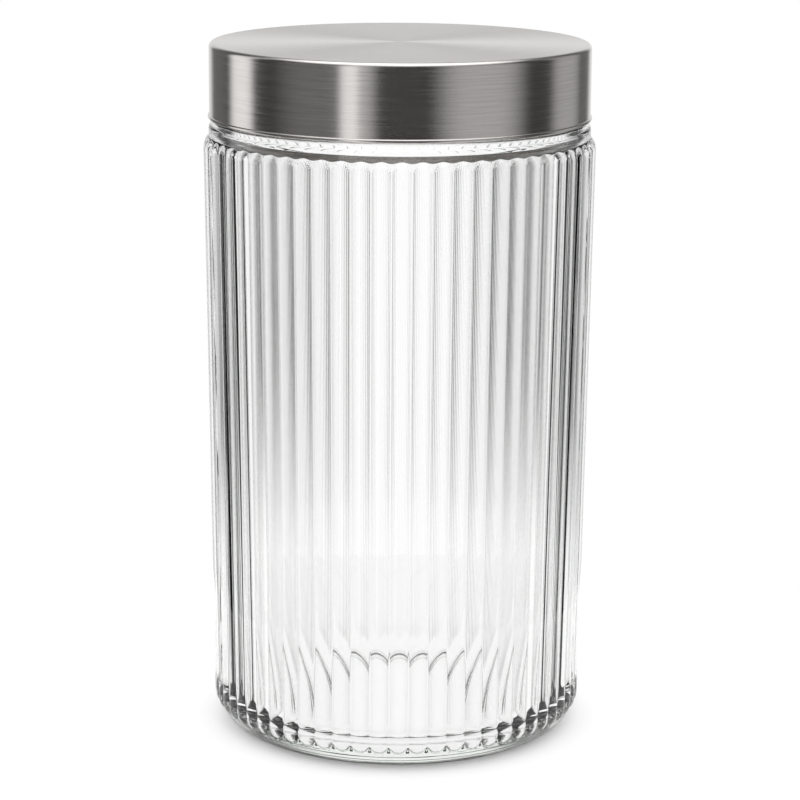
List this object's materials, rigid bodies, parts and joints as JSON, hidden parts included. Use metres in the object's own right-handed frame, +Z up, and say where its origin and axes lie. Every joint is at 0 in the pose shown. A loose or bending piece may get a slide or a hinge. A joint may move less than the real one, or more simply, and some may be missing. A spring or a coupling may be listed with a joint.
{
  "type": "storage jar",
  "caption": "Tall round ribbed glass storage jar with round-ended ribs, a rounded heel, a smooth collar and a flat brushed steel cap over the rim.",
  "frame": {"origin": "middle of the foot, on the plane the jar stands on", "axes": "+Z up along the jar's axis, -Y towards the crest of a rib"},
  "size_m": [0.1134, 0.1136, 0.2025],
  "materials": {
    "jar_glass": "clear soda-lime glass, pressed in straight ribs, fire-polished",
    "cap_steel": "stainless steel, brushed along the skirt and spun in circles on top"
  },
  "bodies": {
    "root": {"jar": "jar_glass", "cap": "cap_steel"}
  },
  "joints": []
}
